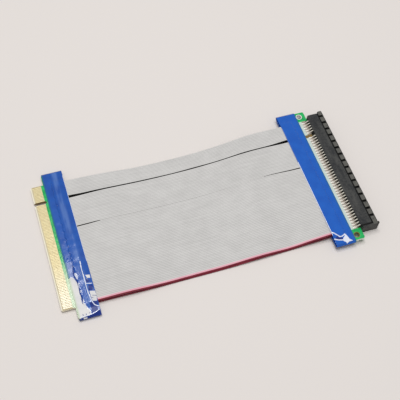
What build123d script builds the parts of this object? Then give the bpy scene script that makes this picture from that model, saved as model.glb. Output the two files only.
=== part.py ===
from build123d import *
import math
import os

os.makedirs("parts", exist_ok=True)

# A flexible x16 riser lying flat: a card-edge board, flat ribbons in two layers,
# and a slot connector on a small board. X runs along the ribbons towards the
# socket, Y across them, Z up. The origin is on the table, under the middle.

# Contact grid, the same at the card edge and in the socket
contact_pitch = 1.0
short_count = 11
long_count = 71
key_step = 3.0  # from the last short contact to the first long one
overrun = 1.0  # how far a cutter reaches past what it cuts

# Circuit boards
board_thickness = 1.6
board_ear = 7.1  # from the side of the tab to the end of the board
board_corner = 0.6  # small bevels at the corners of both boards
tab_depth = 8.0
tab_margin = 1.1  # from an end contact to the side of the tab
tab_chamfer = 0.5
key_width = 1.9
key_depth = 7.5
bevel_length = 1.25
bevel_height = 0.45
joint_inset = 1.8  # from the shoulder of the card-edge board to the solder joints
screw_hole_diameter = 3.2
screw_hole_end = 3.2  # from the end of the board
screw_hole_inset = 4.1  # from the socket side of the board

# Card-edge fingers
finger_width = 0.7
finger_thickness = 0.05
finger_setback = 1.5  # from the shoulder of the board

# Ribbons
ribbon_thickness = 0.7
ribbon_edge = 0.45  # from the outer conductor to the edge of the insulation
middle_count = 21  # conductors of the middle ribbon, next to the narrow one
board_gap = 149.5  # clear length between the two boards
layer_gap = 0.08  # between the upper and the lower layer where they lie together
edge_overlap = 6.0  # insulation lying on the card-edge board
socket_overlap = 4.0  # insulation lying on the socket board
crown_narrow = 6.1  # height of the hump beside the socket, under the upper layer
crown_middle = 5.3
crown_wide = 5.7
swell_height = 0.4  # slight rise of the ribbons just after the card-edge tape
key_closing = 1.85  # how far the narrow ribbon closes up on the middle one
slit_easing = 0.15  # how far the middle and wide ribbons part near the tapes
bend_share = 0.41  # share of the shorter run that each bend takes

# Where the ribbons bend, as shares of the free run between the tapes, and how high
# each layer is there, as shares of its rise from the table to the crown of the hump
bend_shares = [0.05, 0.14, 0.32, 0.54, 0.65, 0.77, 0.87, 0.95]
upper_rise_shares = [0, 0, 0.24, 0.80, 1]
lower_rise_shares = [0, 0, 0.23, 0.78, 0.94]
closing_shares = [0.30, 0.74]  # where the narrow ribbon has closed up, and opens again

# Bared conductor ends in their solder
wire_width = 0.6
wire_height = 0.6
wire_length = 3.2

# Tape
tape_thickness = 0.2
tape_width = 12.7
tape_overhang = 1.1  # past each end of the board
edge_tape_inset = 0.3  # from the shoulder of the card-edge board
socket_tape_inset = 6.1  # from the socket side of the socket board
socket_tape_lap = 7.7  # width of it that lies on the ribbons
tape_margin = 0.4  # level tape beyond the outer conductors' insulation
tape_drop = 1.0  # length of the slope down to the board

# Solder pads of the socket board
pad_width = 0.6
pad_thickness = 0.05
pad_setback = 0.5  # from the socket side of the board

# Socket housing
far_wall = 1.75  # from the end of the slot to the far end of the housing
near_wall = 1.2
housing_depth = 11.0
housing_thickness = 7.5
housing_chamfer = 1.0
mouth_chamfer = 0.6
end_block = 1.0  # block at the near end, where the flanks are not recessed
end_block_nose = 0.5  # how far that block stands out past the mouth
recess_depth = 0.6
groove_width = 0.5  # groove in the flanks, along the rim and the end block
groove_depth = 1.0
rim_depth = 3.3
rim_nub = 0.8  # how far the rim stands out past the far end
rim_nub_chamfer = 0.5
window_count = 16
window_pitch = 5.26
window_start = 3.3  # from the far end of the housing to the first window's middle
window_width = 1.7
window_depth = 1.1
window_lip = 0.75  # rim left between a window and the mouth
slot_clearance = 0.15
seat_clearance = 0.3
lead_in_depth = 0.5
lead_in_angle = 30
gallery_lip = 1.2
gallery_height = 2.3  # from the middle plane
gallery_slope = 2.2
gallery_margin = 0.2

# Contacts
contact_width = 0.65
contact_thickness = 0.25
inner_tail = 2.6  # on the pad, from the back of the housing
outer_exit = 2.6  # height of the outer tails above the middle plane
outer_stub = 0.5  # straight piece behind the housing
outer_reach = 2.6  # from the housing to where the bent tail lands
outer_foot = 1.4
bump_height = 0.62  # contact point above the middle plane
bump_setback = 2.2  # from the mouth
spring_lead = 0.1  # straight piece before the contact bends in its gallery

# Places along X
edge_body_depth = joint_inset + wire_length + edge_overlap
socket_board_depth = socket_overlap + tape_width - socket_tape_lap + socket_tape_inset
boards_length = tab_depth + edge_body_depth + board_gap + socket_board_depth
total_length = boards_length + housing_depth + end_block_nose
tip_x = -total_length / 2
shoulder_x = tip_x + tab_depth
edge_inner_x = shoulder_x + edge_body_depth
socket_inner_x = edge_inner_x + board_gap
back_x = socket_inner_x + socket_board_depth
mouth_x = back_x + housing_depth
edge_tape_x = shoulder_x + edge_tape_inset
free_start = edge_tape_x + tape_width
ribbon_start = edge_inner_x - edge_overlap
ribbon_end = socket_inner_x + socket_overlap
socket_tape_x = ribbon_end - socket_tape_lap
free_run = socket_tape_x - free_start
rim_x = mouth_x - rim_depth

# Places along Y
contact_half = (contact_pitch * (short_count + long_count - 2) + key_step) / 2
tab_half = contact_half + tab_margin
board_length = 2 * (tab_half + board_ear)
screw_hole_spacing = board_length - 2 * screw_hole_end
tape_length = board_length + 2 * tape_overhang
housing_far = tab_half + slot_clearance + far_wall
housing_near = -tab_half - slot_clearance - near_wall
key_y = contact_half - contact_pitch * (short_count - 1) - key_step / 2
ribbon_half = contact_half + ribbon_edge
split_y = key_y - key_step / 2 - contact_pitch * (middle_count - 1 / 2)

# Heights of the boards' middle planes: one lies on its tape, one is held by the housing
edge_mid = tape_thickness + ribbon_thickness + board_thickness / 2
socket_mid = housing_thickness / 2


def contact_places():
    """Y of every contact, from the short section on."""
    short = [contact_half - contact_pitch * i for i in range(short_count)]
    first_long = short[-1] - key_step
    return short + [first_long - contact_pitch * i for i in range(long_count)]


def keep(piece, name):
    """Labels a finished piece and writes its file."""
    piece.part.label = name
    export_step(piece.part, f"parts/{name}.step")


def edge_board():
    """Card-edge board: a long body, the bevelled tab and its key notch."""
    with BuildPart() as board:
        with BuildSketch(Plane.XY.offset(edge_mid - board_thickness / 2)) as outline:
            with BuildLine():
                Polyline(
                    (edge_inner_x, -board_length / 2),
                    (edge_inner_x, board_length / 2),
                    (shoulder_x, board_length / 2),
                    (shoulder_x, tab_half),
                    (tip_x + tab_chamfer, tab_half),
                    (tip_x, tab_half - tab_chamfer),
                    (tip_x, tab_chamfer - tab_half),
                    (tip_x + tab_chamfer, -tab_half),
                    (shoulder_x, -tab_half),
                    (shoulder_x, -board_length / 2),
                    close=True,
                )
            make_face()
            corners = outline.vertices().filter_by(lambda v: abs(v.Y) > tab_half + overrun)
            chamfer(corners, length=board_corner)
            notch_length = key_depth - key_width / 2 + overrun
            with Locations((tip_x - overrun + notch_length / 2, key_y)):
                Rectangle(notch_length, key_width, mode=Mode.SUBTRACT)
            with Locations((tip_x + key_depth - key_width / 2, key_y)):
                Circle(key_width / 2, mode=Mode.SUBTRACT)
        extrude(amount=board_thickness)
        for side in (1, -1):
            face_z = edge_mid + side * board_thickness / 2
            with BuildSketch(Plane.XZ):
                with BuildLine():
                    Polyline(
                        (tip_x, face_z - side * bevel_height),
                        (tip_x, face_z),
                        (tip_x + bevel_length, face_z),
                        close=True,
                    )
                make_face()
            extrude(amount=tab_half, both=True, mode=Mode.SUBTRACT)
    return board


def socket_board():
    """Board behind the socket, with a screw hole in the ear at each end."""
    with BuildPart() as board:
        with BuildSketch(Plane.XY.offset(socket_mid - board_thickness / 2)) as outline:
            with Locations((back_x - socket_board_depth / 2, 0)):
                Rectangle(socket_board_depth, board_length)
            chamfer(outline.vertices(), length=board_corner)
            with Locations((back_x - screw_hole_inset, 0)):
                with GridLocations(0, screw_hole_spacing, 1, 2):
                    Circle(screw_hole_diameter / 2, mode=Mode.SUBTRACT)
        extrude(amount=board_thickness)
    return board


def strips(start, length, width, base, height):
    """One flat strip for every contact, lying from height base upwards, or downwards."""
    with BuildPart() as row:
        with BuildSketch(Plane.XY.offset(base)):
            with Locations([(start + length / 2, y) for y in contact_places()]):
                Rectangle(length, width)
        extrude(amount=height)
    return row


def wire_ends(start, base, side):
    """Bared conductor ends, each in a fillet of solder that narrows away from the board."""
    with BuildPart() as row:
        for y in contact_places():
            with BuildSketch(Plane.YZ.offset(start)):
                with BuildLine():
                    Polyline(
                        (y - wire_width / 2, base),
                        (y, base + side * wire_height),
                        (y + wire_width / 2, base),
                        close=True,
                    )
                make_face()
        extrude(amount=wire_length)
    return row


def bend_radii(points):
    """A radius for each inner point of a route, as large as its two runs allow."""
    radii = []
    for before, corner, after in zip(points, points[1:], points[2:]):
        run = min(math.dist(before, corner), math.dist(corner, after))
        heading_in = math.atan2(corner[1] - before[1], corner[0] - before[0])
        heading_out = math.atan2(after[1] - corner[1], after[0] - corner[0])
        radii.append(bend_share * run / math.tan(abs(heading_out - heading_in) / 2))
    return radii


def layer_route(on_edge_board, lying, rise_shares, rise, on_socket_board):
    """Underside of a layer: off the board, down to the table, over the hump, onto the next."""
    heights = [on_edge_board, on_edge_board + swell_height]
    heights += [lying + rise * share for share in rise_shares]
    heights.append(on_socket_board)
    bends = [(free_start + free_run * s, h) for s, h in zip(bend_shares, heights)]
    return [(ribbon_start, on_edge_board), *bends, (ribbon_end, on_socket_board)]


def upper_route(crown):
    """Underside of the upper layer, which lies on the boards and on the lower layer."""
    lying = ribbon_thickness + layer_gap
    landing = socket_mid + board_thickness / 2
    edge_top = edge_mid + board_thickness / 2
    return layer_route(edge_top, lying, upper_rise_shares, crown - lying, landing)


def lower_route(crown):
    """Underside of the lower layer, which lies on the table and against the upper one."""
    rise = crown - ribbon_thickness - layer_gap
    landing = socket_mid - board_thickness / 2 - ribbon_thickness
    edge_underside = edge_mid - board_thickness / 2 - ribbon_thickness
    return layer_route(edge_underside, 0, lower_rise_shares, rise, landing)


def plan_edge(y, shift, parting):
    """One long edge of a ribbon seen from above: it closes up by shift between the tapes."""
    closed = [(free_start + free_run * share, y + shift) for share in closing_shares]
    return [
        (ribbon_start, y + parting),
        (free_start, y + parting),
        *closed,
        (socket_tape_x, y + parting),
        (ribbon_end, y + parting),
    ]


def ribbon(route, far_edge, near_edge):
    """A flat ribbon: its bent side profile, kept to its outline seen from above."""
    with BuildPart() as piece:
        with BuildSketch(Plane.XZ):
            with BuildLine():
                FilletPolyline(*route, radius=bend_radii(route))
                offset(amount=ribbon_thickness, side=Side.LEFT, closed=True)
            make_face()
        extrude(amount=ribbon_half + overrun, both=True)
        with BuildSketch(Plane.XY):
            with BuildLine():
                Polyline(*far_edge, *reversed(near_edge), close=True)
            make_face()
        extrude(amount=housing_thickness + overrun, mode=Mode.INTERSECT)
    return piece


def ribbons():
    """The narrow, middle and wide ribbon of both layers."""
    narrow_inner = key_y + key_step / 2 - ribbon_edge
    middle_outer = key_y - key_step / 2 + ribbon_edge
    half_pitch_gap = contact_pitch / 2 - ribbon_edge
    middle_inner = split_y + half_pitch_gap
    wide_outer = split_y - half_pitch_gap
    shapes = {
        "narrow": (
            crown_narrow,
            plan_edge(ribbon_half, -key_closing, 0),
            plan_edge(narrow_inner, -key_closing, 0),
        ),
        "middle": (
            crown_middle,
            plan_edge(middle_outer, 0, 0),
            plan_edge(middle_inner, 0, slit_easing),
        ),
        "wide": (
            crown_wide,
            plan_edge(wide_outer, 0, -slit_easing),
            plan_edge(-ribbon_half, 0, 0),
        ),
    }
    for size, (crown, far_edge, near_edge) in shapes.items():
        keep(ribbon(upper_route(crown), far_edge, near_edge), f"ribbon_top_{size}")
        keep(ribbon(lower_route(crown), far_edge, near_edge), f"ribbon_bottom_{size}")


def across_profile(thickness):
    """Half section of the tape across the ribbons, as (y, height over the middle plane)."""
    on_board = board_thickness / 2 + pad_thickness
    on_ribbon = board_thickness / 2 + ribbon_thickness
    level_end = ribbon_half + tape_margin
    return [
        (0, on_ribbon + thickness),
        (level_end, on_ribbon + thickness),
        (level_end + tape_drop, on_board + thickness),
        (board_length / 2, on_board + thickness),
        (tape_length / 2, thickness),
    ]


def tape_body(x_outer, x_inner, mid, thickness, base):
    """The space under a tape, or under its outer face: two sections that meet as a hip roof."""
    half = across_profile(thickness)
    far = [(y, mid + h) for y, h in half]
    near = [(-y, mid + h) for y, h in reversed(half[1:])]
    inwards = math.copysign(1, x_inner - x_outer)
    on_board = mid + board_thickness / 2 + pad_thickness + thickness
    on_ribbon = mid + board_thickness / 2 + ribbon_thickness + thickness
    with BuildPart() as body:
        with BuildSketch(Plane.YZ.offset(min(x_outer, x_inner))):
            with BuildLine():
                Polyline(*near, *far, (tape_length / 2, base), (-tape_length / 2, base), close=True)
            make_face()
        extrude(amount=tape_width)
        with BuildSketch(Plane.XZ):
            with BuildLine():
                Polyline(
                    (x_outer, base),
                    (x_outer, on_board),
                    (x_outer + inwards * tape_margin, on_board),
                    (x_outer + inwards * (tape_margin + tape_drop), on_ribbon),
                    (x_inner, on_ribbon),
                    (x_inner, base),
                    close=True,
                )
            make_face()
        extrude(amount=tape_length, both=True, mode=Mode.INTERSECT)
    return body


def tape_pair(x_outer, x_inner, mid, name):
    """The upper tape, and the lower one as its mirror image, meeting past the board's ends."""
    outside = tape_body(x_outer, x_inner, mid, tape_thickness, mid)
    inside = tape_body(x_outer, x_inner, mid, 0, mid - overrun)
    with BuildPart() as upper:
        add(outside.part)
        add(inside.part, mode=Mode.SUBTRACT)
    with BuildPart() as lower:
        mirror(upper.part, about=Plane.XY.offset(mid))
    keep(upper, f"{name}_tape_top")
    keep(lower, f"{name}_tape_bottom")


def card_sections(margin):
    """(middle Y, length) of the short and the long part of the slot."""
    short_near = key_y + key_width / 2
    long_far = key_y - key_width / 2
    short = ((tab_half + short_near) / 2, tab_half - short_near + 2 * margin)
    long = ((long_far - tab_half) / 2, long_far + tab_half + 2 * margin)
    return [short, long]


def housing_outline():
    """Outline of the housing from above, from its back: the rim stands out at the far end."""
    nub = housing_far + rim_nub
    front = mouth_x + end_block_nose
    return [
        (back_x, housing_near + housing_chamfer),
        (back_x, housing_far - housing_chamfer),
        (back_x + housing_chamfer, housing_far),
        (rim_x, housing_far),
        (rim_x, nub - rim_nub_chamfer),
        (rim_x + rim_nub_chamfer, nub),
        (mouth_x - rim_nub_chamfer, nub),
        (mouth_x, nub - rim_nub_chamfer),
        (mouth_x, housing_near + end_block),
        (front, housing_near + end_block),
        (front, housing_near),
        (back_x + housing_chamfer, housing_near),
    ]


def housing():
    """Slot connector lying on its side: recessed flanks, castellated rim and keyed slot."""
    slot_height = board_thickness + slot_clearance
    slot_depth = tab_depth + seat_clearance
    flank_near = housing_near + end_block
    with BuildPart() as body:
        with BuildSketch(Plane.XY):
            with BuildLine():
                Polyline(*housing_outline(), close=True)
            make_face()
        extrude(amount=housing_thickness)
        for side in (1, -1):
            face_z = socket_mid + side * housing_thickness / 2
            with BuildSketch(Plane.XY.offset(face_z)):
                with BuildLine():
                    Polyline(
                        (back_x - overrun, flank_near),
                        (rim_x, flank_near),
                        (rim_x, housing_far + overrun),
                        (back_x - overrun, housing_far + overrun),
                        close=True,
                    )
                make_face()
            extrude(amount=-side * recess_depth, mode=Mode.SUBTRACT)
            with BuildSketch(Plane.XY.offset(face_z)):
                with BuildLine():
                    Polyline(
                        (back_x - overrun, flank_near),
                        (rim_x, flank_near),
                        (rim_x, housing_far + overrun),
                        (rim_x - groove_width, housing_far + overrun),
                        (rim_x - groove_width, flank_near + groove_width),
                        (back_x - overrun, flank_near + groove_width),
                        close=True,
                    )
                make_face()
            extrude(amount=-side * groove_depth, mode=Mode.SUBTRACT)
            window_length = rim_depth - window_lip
            window_places = [
                (rim_x + window_length / 2, housing_far - window_start - window_pitch * i)
                for i in range(window_count)
            ]
            with BuildSketch(Plane.XY.offset(face_z)):
                with Locations(window_places):
                    Rectangle(window_length, window_width)
            extrude(amount=-side * window_depth, mode=Mode.SUBTRACT)
            # bevel along the mouth
            with BuildSketch(Plane.XZ.offset(-flank_near)):
                with BuildLine():
                    Polyline(
                        (mouth_x, face_z),
                        (mouth_x, face_z - side * mouth_chamfer),
                        (mouth_x - mouth_chamfer, face_z),
                        close=True,
                    )
                make_face()
            extrude(amount=flank_near - housing_far - rim_nub, mode=Mode.SUBTRACT)
        # slot for the card, in two sections with the key rib between them
        slots = card_sections(slot_clearance)
        for slot_y, slot_length in slots:
            with BuildSketch(Plane.YZ.offset(mouth_x)):
                with Locations((slot_y, socket_mid)):
                    Rectangle(slot_length, slot_height)
            extrude(amount=-slot_depth, mode=Mode.SUBTRACT)
            lead_in = lead_in_depth * math.tan(math.radians(lead_in_angle))
            with BuildSketch(Plane.YZ.offset(mouth_x)):
                with Locations((slot_y, socket_mid)):
                    Rectangle(slot_length, slot_height + 2 * lead_in)
            with BuildSketch(Plane.YZ.offset(mouth_x - lead_in_depth)):
                with Locations((slot_y, socket_mid)):
                    Rectangle(slot_length, slot_height)
            loft(mode=Mode.SUBTRACT)
        # galleries beside the slot, where the contacts spring
        bottom_x = mouth_x - slot_depth
        gallery_end = mouth_x - gallery_lip
        gallery_foot = outer_exit + contact_thickness / 2 + gallery_margin
        sections = card_sections(0)
        for gallery_y, gallery_length in sections:
            with BuildSketch(Plane.XZ.offset(-gallery_y)):
                with BuildLine():
                    Polyline(
                        (bottom_x, socket_mid - gallery_foot),
                        (bottom_x, socket_mid + gallery_foot),
                        (bottom_x + gallery_slope, socket_mid + gallery_height),
                        (gallery_end, socket_mid + gallery_height),
                        (gallery_end, socket_mid - gallery_height),
                        (bottom_x + gallery_slope, socket_mid - gallery_height),
                        close=True,
                    )
                make_face()
            extrude(amount=gallery_length / 2 - gallery_margin, both=True, mode=Mode.SUBTRACT)
        # channels through the back wall, one for each row of tails
        inner_height = board_thickness / 2 + pad_thickness + contact_thickness / 2
        wall = housing_depth - slot_depth
        for gallery_y, gallery_length in sections:
            for height in (inner_height, -inner_height, outer_exit, -outer_exit):
                with BuildSketch(Plane.YZ.offset(back_x)):
                    with Locations((gallery_y, socket_mid + height)):
                        Rectangle(gallery_length - 2 * gallery_margin, contact_thickness)
                extrude(amount=wall, mode=Mode.SUBTRACT)
    return body


def strip_outline(centre):
    """Closed outline of a bent strip around its centre line, mitred at each bend."""
    left, right = [], []
    for i, (x, z) in enumerate(centre):
        before = centre[max(i - 1, 0)]
        after = centre[min(i + 1, len(centre) - 1)]
        into = math.atan2(z - before[1], x - before[0]) if i else None
        out = math.atan2(after[1] - z, after[0] - x) if i < len(centre) - 1 else None
        into = out if into is None else into
        out = into if out is None else out
        normal = (into + out) / 2 + math.pi / 2
        reach = contact_thickness / 2 / math.cos((out - into) / 2)
        left.append((x + reach * math.cos(normal), z + reach * math.sin(normal)))
        right.append((x - reach * math.cos(normal), z - reach * math.sin(normal)))
    return left + right[::-1]


def contact_centre(outer):
    """Centre line of a contact as (x, height over the middle plane), from its tail."""
    on_pad = board_thickness / 2 + pad_thickness + contact_thickness / 2
    bump = (mouth_x - bump_setback, bump_height + contact_thickness / 2)
    wall_end = mouth_x - tab_depth - seat_clearance + spring_lead
    if not outer:
        return [(back_x - inner_tail, on_pad), (wall_end, on_pad), bump]
    return [
        (back_x - outer_reach - outer_foot, on_pad),
        (back_x - outer_reach, on_pad),
        (back_x - outer_stub, outer_exit),
        (wall_end, outer_exit),
        bump,
    ]


def contact_row(outer, side):
    """Every second contact of one face: springs in the slot, tails on the board."""
    places = contact_places()[1 if outer else 0 :: 2]
    outline = strip_outline(contact_centre(outer))
    with BuildPart() as row:
        for y in places:
            with BuildSketch(Plane.XZ.offset(-y - contact_width / 2)):
                with BuildLine():
                    Polyline(*[(x, socket_mid + side * h) for x, h in outline], close=True)
                make_face()
        extrude(amount=contact_width)
    return row


# Every piece, written to its own file

keep(edge_board(), "edge_board")
keep(socket_board(), "socket_board")

finger_x = tip_x + bevel_length
finger_length = tab_depth - bevel_length - finger_setback
pad_x = ribbon_end
pad_length = back_x - pad_setback - pad_x
wire_edge_x = shoulder_x + joint_inset
for side, face in ((1, "top"), (-1, "bottom")):
    edge_face = edge_mid + side * board_thickness / 2
    socket_face = socket_mid + side * board_thickness / 2
    fingers = strips(finger_x, finger_length, finger_width, edge_face, side * finger_thickness)
    pads = strips(pad_x, pad_length, pad_width, socket_face, side * pad_thickness)
    keep(fingers, f"edge_fingers_{face}")
    keep(pads, f"socket_pads_{face}")
    keep(wire_ends(wire_edge_x, edge_face, side), f"edge_wires_{face}")
    keep(wire_ends(pad_x, socket_face + side * pad_thickness, side), f"socket_wires_{face}")
    keep(contact_row(False, side), f"contacts_inner_{face}")
    keep(contact_row(True, side), f"contacts_outer_{face}")

ribbons()
tape_pair(edge_tape_x, free_start, edge_mid, "edge")
tape_pair(socket_tape_x + tape_width, socket_tape_x, socket_mid, "socket")
keep(housing(), "socket_housing")

for crown in (crown_narrow, crown_middle, crown_wide):
    tightest = min(bend_radii(upper_route(crown)) + bend_radii(lower_route(crown)))
    print("tightest ribbon bend, mm:", round(tightest, 1))
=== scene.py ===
"""Looks of a flexible x16 riser lying flat: ribbons, tapes, boards, gold fingers and a slot.

X runs along the ribbons towards the socket, Y across them and Z up, with the table at zero.
Sizes are in millimetres, and points turn into metres where a mesh, light or camera is made.
"""

import logging
import math
from dataclasses import dataclass, field, replace
from enum import Enum
from typing import Iterable, Optional, Sequence, Union

import bpy
import numpy as np
from mathutils import Matrix, Vector
from mathutils.bvhtree import BVHTree


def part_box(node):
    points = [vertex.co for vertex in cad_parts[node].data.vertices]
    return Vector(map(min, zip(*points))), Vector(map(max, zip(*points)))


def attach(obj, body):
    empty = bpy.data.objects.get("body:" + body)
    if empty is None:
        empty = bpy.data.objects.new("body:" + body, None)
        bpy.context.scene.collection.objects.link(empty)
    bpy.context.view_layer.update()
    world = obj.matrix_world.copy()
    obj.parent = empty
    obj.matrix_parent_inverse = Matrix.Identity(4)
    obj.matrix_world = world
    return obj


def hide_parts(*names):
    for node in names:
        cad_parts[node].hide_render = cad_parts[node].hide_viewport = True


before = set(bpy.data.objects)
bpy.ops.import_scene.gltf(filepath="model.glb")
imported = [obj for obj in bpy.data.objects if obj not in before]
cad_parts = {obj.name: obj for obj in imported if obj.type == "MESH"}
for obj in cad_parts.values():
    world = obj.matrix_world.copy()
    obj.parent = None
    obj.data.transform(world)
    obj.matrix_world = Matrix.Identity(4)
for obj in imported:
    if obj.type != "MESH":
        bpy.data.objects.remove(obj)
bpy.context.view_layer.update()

LOG = logging.getLogger("riser")
MM = 0.001
BODY = "root"

Colour = tuple[float, float, float, float]
Term = Union["Signal", float]
Level = Union[float, np.ndarray]


class Layer(Enum):
    """The upper or the lower face of the riser."""

    TOP = 1
    BOTTOM = -1

    @property
    def word(self) -> str:
        """The layer's name as the nodes spell it."""
        return self.name.lower()


class End(Enum):
    """The card-edge end or the socket end of the riser."""

    EDGE = "edge"
    SOCKET = "socket"


class Width(Enum):
    """One of the three ribbons that lie side by side, with its number of conductors."""

    NARROW = 11
    MIDDLE = 21
    WIDE = 50

    @property
    def word(self) -> str:
        """The ribbon's name as the nodes spell it."""
        return self.name.lower()


def srgb(red: float, green: float, blue: float) -> Colour:
    """Turns a display colour into the linear one that shaders use.

    Args:
        red: Display red, 0 to 255.
        green: Display green, 0 to 255.
        blue: Display blue, 0 to 255.

    Returns:
        The linear colour with full alpha.
    """
    shares = [value / 255 for value in (red, green, blue)]
    linear = [c / 12.92 if c <= 0.04045 else ((c + 0.055) / 1.055) ** 2.4 for c in shares]
    return (*linear, 1.0)


def ease(value: Level, low: Level, high: Level) -> np.ndarray:
    """A smooth step from 0 at low to 1 at high."""
    t = np.clip((value - low) / (high - low), 0, 1)
    return t * t * (3 - 2 * t)


class Signal:
    """One output socket of a shader node, usable in plain arithmetic."""

    def __init__(self, socket: bpy.types.NodeSocket) -> None:
        """Keeps the socket."""
        self.socket = socket

    def _math(self, operation: str, *terms: Term) -> "Signal":
        """Adds a Math node that works on the terms."""
        tree = self.socket.id_data
        return add_node(tree, "ShaderNodeMath", {"operation": operation}, dict(enumerate(terms)))

    def __add__(self, other: Term) -> "Signal":
        """Sum."""
        return self._math("ADD", self, other)

    __radd__ = __add__

    def __sub__(self, other: Term) -> "Signal":
        """Difference."""
        return self._math("SUBTRACT", self, other)

    def __rsub__(self, other: Term) -> "Signal":
        """Difference, the other way round."""
        return self._math("SUBTRACT", other, self)

    def __mul__(self, other: Term) -> "Signal":
        """Product."""
        return self._math("MULTIPLY", self, other)

    __rmul__ = __mul__

    def __truediv__(self, other: Term) -> "Signal":
        """Quotient."""
        return self._math("DIVIDE", self, other)

    def __rtruediv__(self, other: Term) -> "Signal":
        """Quotient, the other way round."""
        return self._math("DIVIDE", other, self)

    def __gt__(self, other: Term) -> "Signal":
        """1 where this is greater, else 0."""
        return self._math("GREATER_THAN", self, other)

    def __lt__(self, other: Term) -> "Signal":
        """1 where this is less, else 0."""
        return self._math("LESS_THAN", self, other)

    def __abs__(self) -> "Signal":
        """Absolute value."""
        return self._math("ABSOLUTE", self)

    def root(self) -> "Signal":
        """Square root."""
        return self._math("SQRT", self)

    def sine(self) -> "Signal":
        """Sine of this value in radians."""
        return self._math("SINE", self)

    def step(self, low: float, high: float) -> "Signal":
        """A smooth step from 0 at low to 1 at high."""
        settings = {"interpolation_type": "SMOOTHSTEP"}
        sockets = {"Value": self, "From Min": low, "From Max": high}
        return add_node(self.socket.id_data, "ShaderNodeMapRange", settings, sockets)

    def mix(self, low: Union["Signal", Colour], high: Union["Signal", Colour]) -> "Signal":
        """Blends two colours, with this signal as the share of the second one.

        Args:
            low: The colour where this signal is 0.
            high: The colour where this signal is 1.

        Returns:
            The blended colour.
        """
        settings = {"data_type": "RGBA"}
        sockets = {0: self, 6: low, 7: high}
        return add_node(self.socket.id_data, "ShaderNodeMix", settings, sockets, 2)


def add_node(
    tree: bpy.types.NodeTree,
    kind: str,
    settings: Optional[dict] = None,
    sockets: Optional[dict] = None,
    output: Union[int, str] = 0,
) -> Signal:
    """Adds any shader node.

    Args:
        tree: The node tree that the node goes into.
        kind: The node's type.
        settings: Properties of the node, which are set first.
        sockets: Values or signals for its inputs, by name or number.
        output: The output to hand back, by name or number.

    Returns:
        The chosen output.
    """
    node = tree.nodes.new(kind)
    for name, value in (settings or {}).items():
        setattr(node, name, value)
    for name, value in (sockets or {}).items():
        if isinstance(value, Signal):
            tree.links.new(value.socket, node.inputs[name])
        else:
            node.inputs[name].default_value = value
    return Signal(node.outputs[output])


class Shader:
    """The node tree of one material, with the signals that most finishes need."""

    def __init__(self, name: str) -> None:
        """Makes an empty material.

        Args:
            name: The material's name.
        """
        self.material = bpy.data.materials.new(name)
        self.material.use_nodes = True
        self.tree = self.material.node_tree
        self.surface = self.tree.nodes["Principled BSDF"]
        self.place = self.add("ShaderNodeTexCoord", output="Object")
        self.normal = self.add("ShaderNodeTexCoord", output="Normal")

    def add(
        self,
        kind: str,
        settings: Optional[dict] = None,
        sockets: Optional[dict] = None,
        output: Union[int, str] = 0,
    ) -> Signal:
        """Adds a node to this material, as add_node does."""
        return add_node(self.tree, kind, settings, sockets, output)

    def axis(self, number: int, vector: Optional[Signal] = None) -> Signal:
        """One coordinate of a vector, of the place in millimetres if none is given."""
        source = vector or self.place
        part = self.add("ShaderNodeSeparateXYZ", None, {0: source}, number)
        return part if vector else part / MM

    def noise(self, size: float, detail: float = 2, stretch: Sequence[float] = (1, 1, 1)) -> Signal:
        """Cloudy noise around one half.

        Args:
            size: Size of the clouds, in millimetres.
            detail: Octaves of finer clouds.
            stretch: How much longer the clouds are along each axis.

        Returns:
            The noise, from 0 to 1.
        """
        scale = tuple(1 / (size * MM * share) for share in stretch)
        settings = {"operation": "MULTIPLY"}
        spread = self.add("ShaderNodeVectorMath", settings, {0: self.place, 1: scale})
        return self.add("ShaderNodeTexNoise", None, {"Vector": spread, "Scale": 1, "Detail": detail})

    def bump(self, height: Signal, depth: float) -> None:
        """Feeds a height, from 0 to 1, to the normal.

        Args:
            height: The height signal.
            depth: What a height of 1 stands for, in millimetres.
        """
        sockets = {"Strength": 1, "Distance": depth * MM, "Height": height}
        self.set("Normal", self.add("ShaderNodeBump", None, sockets))

    def set(self, socket: str, value: Union[Signal, float, Colour]) -> None:
        """Sets or links one input of the surface."""
        if isinstance(value, Signal):
            self.tree.links.new(value.socket, self.surface.inputs[socket])
        else:
            self.surface.inputs[socket].default_value = value


@dataclass(frozen=True)
class InsulationFinish:
    """Vinyl insulation of the ribbon: its plain grey, or a copy of it with painted light or painted
    shade.
    """

    name: str
    colour: Colour
    shade: Colour
    roughness: float = 0.5

    def make(self) -> bpy.types.Material:
        """Builds the material."""
        shader = Shader(self.name)
        clouds = shader.noise(9, 3)
        streaks = shader.noise(0.9, 2, (60, 1, 1))
        tone = (clouds * 0.5 + streaks * 0.5).step(0.3, 0.7)
        shader.set("Base Color", tone.mix(self.shade, self.colour))
        shader.set("Roughness", self.roughness + streaks * 0.12)
        shader.set("Specular IOR Level", 0.35)
        shader.bump(shader.noise(0.25, 3, (3, 1, 1)), 0.02)
        return shader.material


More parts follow.
